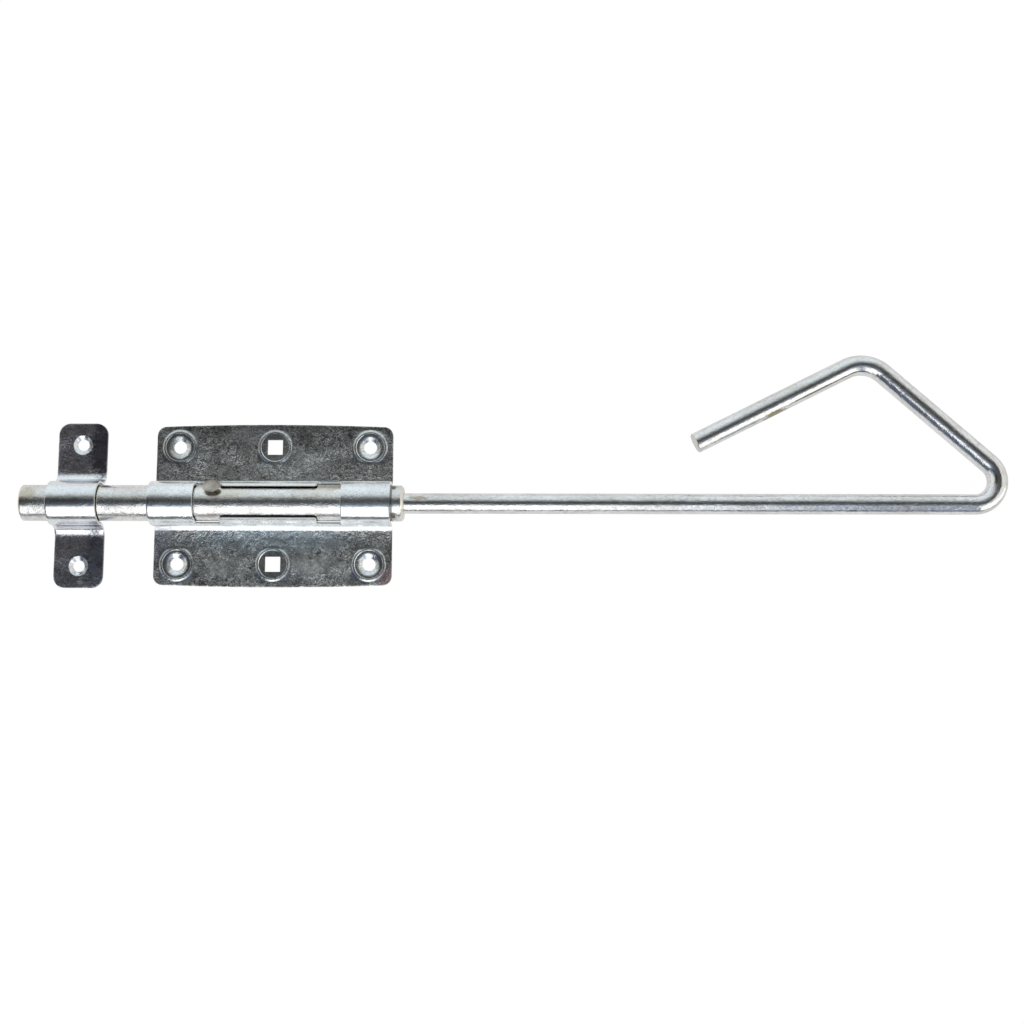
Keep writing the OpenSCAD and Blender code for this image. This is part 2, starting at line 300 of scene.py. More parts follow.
def buildFloor(data):
    # white to the camera with a faint shadow, light grey in the metal
    side, z = data["floorSide"], data["floorHeight"]
    mesh = bpy.data.meshes.new("floor")
    mesh.from_pydata([(-side, -side, z), (side, -side, z), (side, side, z), (-side, side, z)], [], [(0, 1, 2, 3)])
    floor = bpy.data.objects.new("floor", mesh)
    bpy.context.scene.collection.objects.link(floor)
    material = bpy.data.materials.new("floorPaper")
    material.use_nodes = True
    tree = material.node_tree
    tree.nodes.clear()
    place = split(tree, addNode(tree, "ShaderNodeTexCoord").outputs["Object"])
    bright = data["floorInMetal"]
    across = ramp(tree, place["Y"], *data["paperEnd"], data["floorFarInMetal"], bright)
    begin, full, leave, over = data["paperFarX"]
    sides = [ramp(tree, place["X"], low, high, 0.0, bright) for low, high in ((begin, full), (over, leave))]
    inMetal = calc(tree, "MAXIMUM", across, calc(tree, "MINIMUM", *sides))
    path = addNode(tree, "ShaderNodeLightPath").outputs
    level = addNode(tree, "ShaderNodeMix", {"data_type": "FLOAT"}, {
        "Factor": path["Is Camera Ray"], "A": inMetal, "B": data["floorGlow"]}).outputs["Result"]
    seen = calc(tree, "MAXIMUM", path["Is Camera Ray"], path["Is Glossy Ray"])
    share = calc(tree, "MULTIPLY", seen, 1.0 - data["floorShadowShare"])
    paper = addNode(tree, "ShaderNodeBsdfDiffuse", None, {"Color": (*data["floorColor"], 1.0)}).outputs["BSDF"]
    glow = addNode(tree, "ShaderNodeEmission", None, {"Strength": level}).outputs["Emission"]
    both = addNode(tree, "ShaderNodeMixShader", None, {"Fac": share, 1: paper, 2: glow}).outputs["Shader"]
    addNode(tree, "ShaderNodeOutputMaterial", None, {"Surface": both})
    mesh.materials.append(material)


placeCamera(viewData)
buildWorld(studio)
buildFloor(studio)
print("studio ready")


# Folded sheet: a flat drawing (x, w) is bent over the bolt. w runs across the sheet from the top of the channel:
# first the channel's arc, then the straight wall, then the fold, then the flange.
def sheetStations(fold):
    middle = bolt["channelRadius"] + bolt["sheet"] / 2
    arcEnd = middle * math.pi / 2
    wallEnd = arcEnd + bolt["axisHeight"] - bolt["sheet"] - fold
    foldEnd = wallEnd + (fold + bolt["sheet"] / 2) * math.pi / 2
    flangeStart = bolt["channelRadius"] + bolt["sheet"] + fold
    return middle, arcEnd, wallEnd, foldEnd, flangeStart


def bendSheet(w, fold, depth, lift):
    # point of the sheet's cross-section at w, depth below its upper face; lift raises it along the face's normal
    middle, arcEnd, wallEnd, foldEnd, flangeStart = sheetStations(fold)
    sign = np.where(w < 0, -1.0, 1.0)
    a = np.abs(w)
    push = lift - depth
    arcAngle = np.minimum(a, arcEnd) / middle
    arcRadius = bolt["channelRadius"] + bolt["sheet"] + push
    y = arcRadius * np.sin(arcAngle)
    z = bolt["axisHeight"] + arcRadius * np.cos(arcAngle)
    z = np.where(a > arcEnd, bolt["axisHeight"] - (a - arcEnd), z)
    foldAngle = np.clip((a - wallEnd) / (foldEnd - wallEnd), 0.0, 1.0) * math.pi / 2
    foldZ = bolt["sheet"] + fold
    inFold = a > wallEnd
    y = np.where(inFold, flangeStart - (fold - push) * np.cos(foldAngle), y)
    z = np.where(inFold, foldZ - (fold - push) * np.sin(foldAngle), z)
    onFlange = a > foldEnd
    y = np.where(onFlange, flangeStart + a - foldEnd, y)
    z = np.where(onFlange, bolt["sheet"] + push, z)
    return y * sign, z


def latticePatch(xLines, wLines, keep):
    # cells between straight lines; keep says which cell middles belong to the sheet
    x, w = np.meshgrid(xLines, wLines, indexing="ij")
    cells = gridQuads(len(xLines), len(wLines))
    flat = np.stack([x.ravel(), w.ravel()], -1)
    middles = flat[cells].mean(1)
    return flat, cells[keep(middles)]


def linesNear(lines, middle, half):
    return lines[np.abs(lines - middle) < half + 1e-6]


def borderPath(xLines, wLines):
    # corner-to-corner walk around the border of a block of cells
    w0, w1, x0, x1 = wLines[0], wLines[-1], xLines[0], xLines[-1]
    return np.concatenate([
        np.stack([xLines[:-1], np.full(len(xLines) - 1, w0)], -1),
        np.stack([np.full(len(wLines) - 1, x1), wLines[:-1]], -1),
        np.stack([xLines[:0:-1], np.full(len(xLines) - 1, w1)], -1),
        np.stack([np.full(len(wLines) - 1, x0), wLines[:0:-1]], -1)])


def holePatch(centre, half, xLines, wLines, edge, square, radii):
    # rays from the hole's round or square edge to the block around it, through circles of the given radii
    rim = borderPath(linesNear(xLines, centre[0], half), linesNear(wLines, centre[1], half))
    away = rim - np.asarray(centre)
    angle = np.arctan2(away[:, 1], away[:, 0])
    ray = np.stack([np.cos(angle), np.sin(angle)], -1)
    inner = edge / np.abs(ray).max(1) if square else np.full(len(angle), edge)
    distances = [inner + (radii[0] - inner) * share for share in (0.0, 0.25, 0.6)]
    distances += [np.full(len(angle), r) for r in radii]
    rings = np.stack([centre + ray * d[:, None] for d in distances] + [rim])
    quads = gridQuads(rings.shape[0], rings.shape[1], wrapColumns=True)
    return rings.reshape(-1, 2), quads


def besideHoles(middles, centres, half):
    # the cells outside the blocks around the holes
    clear = np.ones(len(middles), bool)
    for cx, cw in centres:
        clear &= (np.abs(middles[:, 0] - cx) > half) | (np.abs(middles[:, 1] - cw) > half)
    return clear


# Edges of both folded pieces
sheetData = {
    "rimShares": (0, 0.3, 0.55, 0.75, 0.9, 1.0),  # rows between the lattice and the outline
    "edgeRoll": 0.12,  # how far the upper edge rolls down
    "edgeRollWidth": 0.75,
    "noEdge": 9.0,  # a distance at which an edge has no effect
}


def rimPatch(path, outline):
    # strip between the lattice's border and the sheet's real outline
    target = outline(path)
    rows = np.stack([path + (target - path) * s for s in sheetData["rimShares"]])
    quads = gridQuads(rows.shape[0], rows.shape[1], wrapColumns=True)
    return rows.reshape(-1, 2), quads


def nearestBorder(path, flangeShift, corner, radius, straight):
    # nearest point of the outline: straight gives it on the four sides, the corners are round
    x, y = np.abs(path[:, 0]), np.abs(path[:, 1]) - flangeShift
    toCorner = np.stack([x - corner[0], y - corner[1]], -1)
    unit = toCorner / np.maximum(np.linalg.norm(toCorner, axis=1), 1e-9)[:, None]
    inCorner = (x > corner[0]) & (y > corner[1])
    sideX, sideY = straight(x, y)
    outX = np.where(inCorner, corner[0] + unit[:, 0] * radius, sideX)
    outY = np.where(inCorner, corner[1] + unit[:, 1] * radius, sideY)
    return np.stack([outX * np.sign(path[:, 0]), (outY + flangeShift) * np.where(path[:, 1] < 0, -1, 1)], -1)


def weld(patches):
    # points that lie on the same place become one, and faces that lose a corner go
    points = np.concatenate([p for p, q in patches])
    starts = np.cumsum([0] + [len(p) for p, q in patches[:-1]])
    quads = np.concatenate([q + s for (p, q), s in zip(patches, starts)])
    keys = np.round(points * 2000).astype(np.int64)
    _, first, same = np.unique(keys, axis=0, return_index=True, return_inverse=True)
    quads = same.ravel()[quads]
    used, quads = np.unique(quads, return_inverse=True)
    return points[first][used], quads.reshape(-1, 4)


def counterClockwise(flat, quads):
    # every cell turned the same way round in the flat drawing
    p = flat[quads]
    a, b = p[:, 2] - p[:, 0], p[:, 3] - p[:, 1]
    area = a[:, 0] * b[:, 1] - a[:, 1] * b[:, 0]
    quads = quads.copy()
    quads[area < 0] = quads[area < 0][:, ::-1]
    return quads[np.abs(area) > 1e-9]


def borderEdges(quads):
    # edges that only one face uses, in that face's direction
    edges = np.concatenate([quads[:, [0, 1]], quads[:, [1, 2]], quads[:, [2, 3]], quads[:, [3, 0]]])
    _, first, times = np.unique(np.sort(edges, axis=1), axis=0, return_index=True, return_counts=True)
    return edges[first[times == 1]]


def thickSheet(flat, quads, fold, lift):
    # upper face, lower face and a wall along every border edge
    quads = counterClockwise(flat, quads)
    topY, topZ = bendSheet(flat[:, 1], fold, 0.0, lift)
    lowY, lowZ = bendSheet(flat[:, 1], fold, bolt["sheet"], np.zeros(len(flat)))
    top = np.stack([flat[:, 0], topY, topZ], -1)
    low = np.stack([flat[:, 0], lowY, lowZ], -1)
    count = len(flat)
    border = borderEdges(quads)
    wall = np.stack([border[:, 1], border[:, 0], border[:, 0] + count, border[:, 1] + count], -1)
    return np.concatenate([top, low]), np.concatenate([quads, quads[:, ::-1] + count, wall])


def boxDistance(p, middle, half, radius):
    # signed distance to a rectangle with round corners, negative inside
    q = np.abs(p - np.asarray(middle)) - (np.asarray(half) - radius)
    return np.linalg.norm(np.maximum(q, 0.0), axis=-1) + np.minimum(np.maximum(q[..., 0], q[..., 1]), 0.0) - radius


def roundUnion(a, b, radius):
    # union of two distances with a round inner corner
    ua, ub = np.maximum(radius - a, 0.0), np.maximum(radius - b, 0.0)
    return np.maximum(radius, np.minimum(a, b)) - np.sqrt(ua * ua + ub * ub)


def pullToBorder(flat, quads, distance, reach=1.6, step=0.01):
    # points on the border of the opening move onto it, along the distance's slope
    moving = np.unique(borderEdges(quads))
    moving = moving[np.abs(distance(flat[moving])) < reach]
    for _ in range(6):
        p = flat[moving]
        d = distance(p)
        gx = (distance(p + [step, 0]) - distance(p - [step, 0])) / (2 * step)
        gw = (distance(p + [0, step]) - distance(p - [0, step])) / (2 * step)
        size = np.maximum(gx * gx + gw * gw, 1e-6)
        flat[moving] = p - np.stack([gx, gw], -1) * (d / size)[:, None]
    return flat


def pressSheet(name, flat, quads, data, holes, toEdge, wearShare):
    # beads, seats and dishes around the holes, rolled edges, then the thickness
    lift, pressed = np.zeros(len(flat)), np.zeros(len(flat))
    for (cx, cw), profile in holes:
        profile = np.array(profile)
        r = np.hypot(flat[:, 0] - cx, flat[:, 1] - cw)
        near = r < profile[-1, 0]
        lift[near] = np.interp(r[near], profile[:, 0], profile[:, 1])
        pressed = np.maximum(pressed, np.clip((data["pressedEnd"] - r) / data["pressedFade"], 0.0, 1.0))
    share = np.clip(1.0 - toEdge / sheetData["edgeRollWidth"], 0.0, 1.0)
    lift = lift - sheetData["edgeRoll"] * share ** 2
    points, faces = thickSheet(flat, quads, data["fold"], lift)
    points[:, 0] += data["middleX"]
    return putMesh(name, points, faces, edge=np.tile(share * wearShare, 2), pressed=np.tile(pressed, 2))


plateData = {
    "middleX": 0.0,
    "halfLength": 58.25,
    "halfWidth": 40.25,
    "edgeBow": 1.2,
    "corner": 4.5,
    "fold": 2.0,
    "windowLeft": -36.05,
    "windowRight": 34.25,
    "lipLeft": -24.05,
    "lipRight": 22.75,
    "lipAngle": 52.0,
    "lipCorner": 1.4,
    "notchFloor": 8.8,
    "notchCorner": 1.8,
    "holeX": 47.0,
    "holeY": 29.0,
    "holeRadius": 3.15,
    "squareHalf": 3.7,
    "block": 9.0,  # half side of the block of cells around a hole
    # profile around a hole: radius, height over the flange
    "dish": [(3.15, -1.2), (3.4, -1.08), (4.0, -0.84), (4.7, -0.55), (5.3, -0.33), (5.8, -0.22)],
    "seat": [(5.3, -0.2)],
    "bead": [(6.2, -0.2), (6.85, -0.2), (6.95, -0.05), (7.02, 0.22), (7.15, 0.36), (7.35, 0.4), (7.6, 0.37),
             (7.9, 0.28), (8.2, 0.17), (8.5, 0.07), (8.75, 0.0)],
    "pressedEnd": 9.3,
    "pressedFade": 0.6,
    "outlineWear": 0.5,  # the window's border is rubbed bright, the outline only in places
}


def buildPlate(data):
    middle, arcEnd, wallEnd, foldEnd, flangeStart = sheetStations(data["fold"])
    flangeShift = foldEnd - flangeStart  # w minus y on the flange
    lipW = middle * math.radians(data["lipAngle"])
    notchW = arcEnd + bolt["axisHeight"] - data["notchFloor"]
    half, hx, hy = data["block"], data["holeX"], data["holeY"]
    wl, wr, ll, lr = data["windowLeft"], data["windowRight"], data["lipLeft"], data["lipRight"]
    rightHalf = spread(
        [0, lipW - 1.8, lipW + 2.4, notchW - 2.4, notchW + 1.2, wallEnd, foldEnd,
         hy - half + flangeShift, hy + half + flangeShift],
        [8, 14, 5, 12, 6, 10, 9, 22])
    wLines = np.concatenate([-rightHalf[:0:-1], rightHalf])
    xLines = spread(
        [-hx - half, -hx + half, wl + 2.2, ll - 2.2, ll + 1.8, -half, half,
         lr - 1.8, lr + 2.2, wr - 2.2, wr + 1.5, hx - half, hx + half],
        [22, 12, 12, 13, 16, 22, 15, 13, 9, 12, 3, 22])
    # straight borders of the window lie on lattice lines
    for lines, values in ((xLines, (wl, ll, lr, wr)), (wLines, (lipW, notchW, -lipW, -notchW))):
        for value in values:
            lines[np.argmin(np.abs(lines - value))] = value

    def opening(p):
        # distance to the window: a middle part and a wider notch at both ends
        shape = boxDistance(p, ((wl + wr) / 2, 0), ((wr - wl) / 2, lipW), 0.0)
        for left, right in ((wl, ll), (lr, wr)):
            notch = boxDistance(p, ((left + right) / 2, 0), ((right - left) / 2, notchW), data["notchCorner"])
            shape = roundUnion(shape, notch, data["lipCorner"])
        return shape

    # bowed long edges: a circle through the corners' height and the middle of the edge
    bowRadius = (data["halfLength"] ** 2 + data["edgeBow"] ** 2) / (2 * data["edgeBow"])
    bowCentre = bowRadius - data["halfWidth"]
    cornerX = data["halfLength"] - data["corner"]
    cornerY = math.sqrt(bowRadius ** 2 - cornerX ** 2) - bowCentre - data["corner"]

    def straight(x, y):
        onEnd = x > cornerX
        edge = np.sqrt(bowRadius ** 2 - x ** 2) - bowCentre
        return np.where(onEnd, data["halfLength"], x), np.where(onEnd, y, edge)

    def outline(path):
        return nearestBorder(path, flangeShift, (cornerX, cornerY), data["corner"], straight)

    centres = [(cx, side * (hy + flangeShift)) for cx in (-hx, 0.0, hx) for side in (-1, 1)]
    flat, cells = latticePatch(xLines, wLines, lambda m: (opening(m) > 0) & besideHoles(m, centres, half))
    patches = [(pullToBorder(flat, cells, opening), cells)]
    holes = []
    for centre in centres:
        square = centre[0] == 0.0
        profile = (data["seat"] if square else data["dish"]) + data["bead"]
        holes.append((centre, profile))
        edge = data["squareHalf"] if square else data["holeRadius"]
        radii = [r for r, h in (profile if square else profile[2:])]
        patches.append(holePatch(centre, half, xLines, wLines, edge, square, radii))
    patches.append(rimPatch(borderPath(xLines, wLines), outline))
    flat, quads = weld(patches)
    beyond = (np.abs(flat[:, 0]) > hx + half - 0.1) | (np.abs(flat[:, 1]) > hy + half + flangeShift - 0.1)
    toEdge = np.where(beyond, np.linalg.norm(outline(flat) - flat, axis=1), sheetData["noEdge"])
    toEdge = np.minimum(toEdge, np.maximum(opening(flat), 0.0))
    wearShare = np.where(beyond, data["outlineWear"], 1.0)
    piece = pressSheet("mountingPlate", flat, quads, data, holes, toEdge, wearShare)
    standFor(piece, "mounting_plate", "fixed")
    return piece


plate = buildPlate(plateData)
print("mounting plate", len(plate.data.polygons), "faces")


keeperData = {
    "middleX": -94.95,
    "halfWidth": 12.0,
    "halfLength": 40.75,
    "corner": 5.6,
    "fold": 5.5,
    "holeY": 30.0,
    "holeRadius": 2.8,
    "block": 6.0,
    # ends of the lattice, inside the outline
    "latticeX": 10.0,
    "latticeY": 38.4,
    "dish": [(2.8, -1.2), (3.0, -1.1), (3.5, -0.8), (4.0, -0.5), (4.4, -0.25), (4.7, -0.08), (4.95, -0.01), (5.3, 0.0)],
    "pressedEnd": 5.4,
    "pressedFade": 0.5,
    "outlineWear": 0.45,
}


def buildKeeper(data):
    middle, arcEnd, wallEnd, foldEnd, flangeStart = sheetStations(data["fold"])
    flangeShift = foldEnd - flangeStart
    half, hy, endX, endY = data["block"], data["holeY"], data["latticeX"], data["latticeY"]
    rightHalf = spread(
        [0, arcEnd, wallEnd, foldEnd, hy - half + flangeShift, hy + half + flangeShift, endY + flangeShift],
        [22, 3, 14, 9, 18, 3])
    wLines = np.concatenate([-rightHalf[:0:-1], rightHalf])
    xLines = spread([-endX, -half, half, endX], [6, 18, 6])
    corner = (data["halfWidth"] - data["corner"], data["halfLength"] - data["corner"])

    def straight(x, y):
        atTop = y > endY - 0.01
        return np.where(atTop, x, data["halfWidth"]), np.where(atTop, data["halfLength"], y)

    def outline(path):
        return nearestBorder(path, flangeShift, corner, data["corner"], straight)

    centres = [(0.0, side * (hy + flangeShift)) for side in (-1, 1)]
    radii = [r for r, h in data["dish"][2:]]
    patches = [latticePatch(xLines, wLines, lambda m: besideHoles(m, centres, half))]
    patches += [holePatch(c, half, xLines, wLines, data["holeRadius"], False, radii) for c in centres]
    patches.append(rimPatch(borderPath(xLines, wLines), outline))
    flat, quads = weld(patches)
    beyond = (np.abs(flat[:, 0]) > endX - 0.01) | (np.abs(flat[:, 1]) > endY - 0.01 + flangeShift)
    toEdge = np.where(beyond, np.linalg.norm(outline(flat) - flat, axis=1), sheetData["noEdge"])
    wearShare = np.where(np.abs(flat[:, 1]) > wallEnd, data["outlineWear"], 1.0)
    holes = [(centre, data["dish"]) for centre in centres]
    piece = pressSheet("keeperStrap", flat, quads, data, holes, toEdge, wearShare)
    standFor(piece, "keeper", "fixed")
    return piece


keeper = buildKeeper(keeperData)
print("keeper", len(keeper.data.polygons), "faces")


tubeData = {
    "noseRadius": 0.8,
    "tailChamfer": 1.2,
    "around": 160,
    # two pressed dents that hold the rod
    "dentX": 59.7,
    "dentAngle": 54.0,
    "dentDepth": 0.45,
    "dentReach": 1.1,
}


def buildTube(data):
    # a closed profile of (x, radius) turned around the bolt's centre line
    left, right, outer, bore = bolt["tubeLeft"], bolt["tubeRight"], bolt["tubeRadius"], bolt["boreRadius"]
    nose, cut = data["noseRadius"], data["tailChamfer"]
    turn = np.linspace(0, math.pi / 2, 6)
    noseArc = np.stack([left + nose - nose * np.cos(turn), outer - nose + nose * np.sin(turn)], -1)
    along = spread([left + nose, left + 6, right - 10, right - cut - 0.2], [8, 60, 24])[1:]
    body = np.stack([along, np.full(len(along), outer)], -1)
    tail = np.array([
        (right - cut, outer - 0.05), (right - cut + 0.25, outer - 0.22), (right - 0.35, outer - cut + 0.28),
        (right - 0.1, outer - cut + 0.05), (right, outer - cut - 0.25), (right, bore + 0.5),
        (right - 0.08, bore + 0.15), (right - 0.3, bore)])
    inside = np.array([
        (right - 8, bore), (0.0, bore), (left + 8, bore),
        (left + 0.3, bore), (left, bore + 0.3), (left, outer - nose - 0.4)])
    profile = np.concatenate([noseArc, body, tail, inside])
    angle = np.linspace(0, 2 * math.pi, data["around"], endpoint=False)
    x = np.repeat(profile[:, :1], len(angle), 1)
    radius = np.repeat(profile[:, 1:], len(angle), 1)
    # a dent lowers the outer surface by a bell curve around its place
    fromTop = np.minimum(angle, 2 * math.pi - angle)
    sideways = (fromTop - math.radians(data["dentAngle"])) * outer / (1.5 * data["dentReach"])
    bell = np.exp(-((x - data["dentX"]) / data["dentReach"]) ** 2 - sideways ** 2)
    radius = radius - np.where(radius > outer - 0.1, data["dentDepth"] * bell, 0.0)
    y = radius * np.sin(angle)
    z = bolt["axisHeight"] + radius * np.cos(angle)
    points, quads, tris = carryRings(np.stack([x, y, z], -1), closedLoop=True)
    toEnd = np.minimum(points[:, 0] - left, right - points[:, 0])
    piece = putMesh("boltTube", points, quads, tris, edge=np.clip(1.25 - toEnd / 1.6, 0.0, 1.0))
    standFor(piece, "bolt_tube", "bolt")
    return piece


tube = buildTube(tubeData)
print("tube", len(tube.data.polygons), "faces")


rodData = {
    "left": -117.45,
    "cornerX": 372.1,
    "firstAngle": 41.7,
    "firstLeg": 108.5,
    "firstBend": 11.5,
    "secondAngle": 26.6,
    "secondLeg": 94.7,
    "secondBend": 16.4,
    "chamfer": 0.4,
    "around": 64,
    # hidden groove that the stop pin's end stands in
    "grooveX": -27.7,
    "grooveWidth": 3.6,
    "grooveRadius": 4.1,
}


def rodPath(data):
    # straight run, left bend, first leg, left bend, second leg: points and headings
    turnA = math.radians(180 - data["firstAngle"])
    turnB = math.radians(data["firstAngle"] + data["secondAngle"])
    cutA = data["firstBend"] * math.tan(turnA / 2)
    cutB = data["secondBend"] * math.tan(turnB / 2)
    # each run: length, turn, bend radius
    runs = [(data["cornerX"] - cutA - data["left"], 0.0, 0.0), (0.0, turnA, data["firstBend"]),
            (data["firstLeg"] - cutA - cutB, 0.0, 0.0), (0.0, turnB, data["secondBend"]),
            (data["secondLeg"] - cutB, 0.0, 0.0)]
    start, heading = np.array([data["left"], 0.0]), 0.0
    places, headings = [], []
    for number, (length, turn, radius) in enumerate(runs):
        if turn:
            t = np.linspace(0, turn, 48)[1:]
            centre = start + radius * np.array([-math.sin(heading), math.cos(heading)])
            places.append(centre + radius * np.stack([np.sin(heading + t), -np.cos(heading + t)], -1))
            headings.append(heading + t)
        else:
            chamfer = data["chamfer"]
            t = np.linspace(0, length, max(2, int(length / 2.5)))
            if number == 0:
                middle, half = data["grooveX"] - data["left"], data["grooveWidth"] / 2
                groove = [middle - half, middle - half + 0.01, middle + half - 0.01, middle + half]
                t = np.unique(np.concatenate([t, [chamfer], groove]))
            elif number == 4:
                t = np.concatenate([t[1:-1], [length - chamfer, length]])
            else:
                t = t[1:]
            places.append(start + t[:, None] * np.array([math.cos(heading), math.sin(heading)]))
            headings.append(np.full(len(t), heading))
        start, heading = places[-1][-1], headings[-1][-1]
    return np.concatenate(places), np.concatenate(headings)


def buildRod(data):
    # a circle carried along the path, with chamfered ends
    places, headings = rodPath(data)
    radius = np.full(len(places), bolt["rodRadius"])
    radius[0] = radius[-1] = bolt["rodRadius"] - data["chamfer"]
    inGroove = (headings == 0) & (np.abs(places[:, 0] - data["grooveX"]) < data["grooveWidth"] / 2 - 0.005)
    radius[inGroove] = data["grooveRadius"]
    angle = np.linspace(0, 2 * math.pi, data["around"], endpoint=False)
    side = np.stack([-np.sin(headings), np.cos(headings)], -1)
    across = radius[:, None] * np.sin(angle)
    xy = places[:, None, :] + side[:, None, :] * across[..., None]
    z = bolt["axisHeight"] + radius[:, None] * np.cos(angle)
    points, quads, tris = carryRings(np.concatenate([xy, z[..., None]], -1))
    # the same rod laid out straight, for the finish
    along = np.concatenate([[0.0], np.cumsum(np.linalg.norm(np.diff(places, axis=0), axis=1))])
    straight = np.stack([np.repeat(along[:, None], len(angle), 1), across, z - bolt["axisHeight"]], -1).reshape(-1, 3)
    straight = np.concatenate([straight, [[along[0], 0, 0], [along[-1], 0, 0]]])
    toEnd = np.minimum(straight[:, 0], along[-1] - straight[:, 0])
    piece = putMesh("pullRod", points, quads, tris, edge=np.clip(1.2 - toEnd, 0.0, 1.0), lay=straight)
    standFor(piece, "pull_rod", "handle")
    return piece


rod = buildRod(rodData)
print("rod", len(rod.data.polygons), "faces")


pinData = {
    "x": -27.7,
    "angle": 41.0,
    "shank": 1.6,
    "head": 4.2,
    "seat": 10.9,
    "rim": 0.5,
    "dome": 1.0,
    "end": 4.3,
    "around": 64,
}


def buildPin(data):
    # shank, underside, rim and dome as one profile of (radius, height) turned around the pin's own line
    head, rim, dome, seat = data["head"], data["rim"], data["dome"], data["seat"]
    domeRadius = (head ** 2 + dome ** 2) / (2 * dome)
    r = np.linspace(head, 0.02, 14)
    domeHeight = seat + rim + dome - domeRadius + np.sqrt(domeRadius ** 2 - r ** 2)
    profile = np.concatenate([
        [(data["shank"] - 0.2, data["end"]), (data["shank"], data["end"] + 0.2), (data["shank"], seat),
         (head - 0.15, seat), (head, seat + 0.15)],
        np.stack([r, domeHeight], -1)])
    angle = np.linspace(0, 2 * math.pi, data["around"], endpoint=False)
    u = profile[:, :1] * np.cos(angle)
    v = profile[:, :1] * np.sin(angle)
    h = np.repeat(profile[:, 1:], len(angle), 1)
    lean = math.radians(data["angle"])
    y = h * math.sin(lean) + v * math.cos(lean)
    z = bolt["axisHeight"] + h * math.cos(lean) - v * math.sin(lean)
    points, quads, tris = carryRings(np.stack([data["x"] + u, y, z], -1))
    piece = putMesh("stopPin", points, quads[:, ::-1], tris[:, ::-1])
    standFor(piece, "stop_pin", "bolt")
    return piece


pin = buildPin(pinData)
print("pin", len(pin.data.polygons), "faces")


# Finishes. All textures are laid out in metres of the object's own space, so 1000 means one feature per millimetre.
def newGroup(name, inputs, outputs):
    group = bpy.data.node_groups.new(name, "ShaderNodeTree")
    for title, kind, value in inputs:
        socket = group.interface.new_socket(title, in_out="INPUT", socket_type="NodeSocket" + kind)
        if value is not None:
            socket.default_value = value
    for title, kind in outputs:
        group.interface.new_socket(title, in_out="OUTPUT", socket_type="NodeSocket" + kind)
    return group, group.nodes.new("NodeGroupInput").outputs, group.nodes.new("NodeGroupOutput").inputs


def useGroup(tree, group, inputs):
    return addNode(tree, "ShaderNodeGroup", {"node_tree": group}, inputs).outputs


# Zinc plating, as a noise (scale, detail, roughness, distortion, shift) and the band in which it goes from none to full
skinData = {
    "clouds": ((95.0, 5.0, 0.68), (0.36, 0.66)),
    "strokes": ((430.0, 4.0, 0.72, 2.2, (0.2, 0.6, 0.1)), (0.35, 0.54)),
    "specks": ((1250.0, 1.5, 0.5, 0.0, (0.3, 0.1, 0.2)), (0.60, 0.74)),
    "speckPlaces": ((70.0, 2.0, 0.6, 0.0, (0.1, 0.5, 0.0)), (0.42, 0.66)),
    "cracklePlaces": ((85.0, 2.0, 0.6, 0.0, (0.7, 0.2, 0.4)), (0.46, 0.60)),
    "uneven": ((120.0, 2.0, 0.6, 0.0, (0.9, 0.9, 0.3)), (0.38, 0.62, 0.45, 1.25)),
    "grain": (560.0, 3.0, 0.66, 1.3),
    "fine": (1250.0, 2.0, 0.6, 0.8),
    # crackle: borders of cells, warped
    "warpScale": 380.0,
    "warpSize": 0.0026,
    "cellScale": 270.0,
    "crackleBand": (0.02, 0.11, 1.0, 0.0),
    # scratches: turn, shift, low end of the band
    "scratches": ((0.55, 0.0, 0.70), (-0.95, 0.4, 0.715), (1.9, 0.8, 0.72)),
    "scratchStretch": (0.045, 1.0, 0.3),
    "scratchScale": 1500.0,
    "scratchBand": 0.05,
    # shares of the height
    "cloudHeight": 0.4,
    "fineHeight": 0.5,
    "lineDepth": 0.2,
}


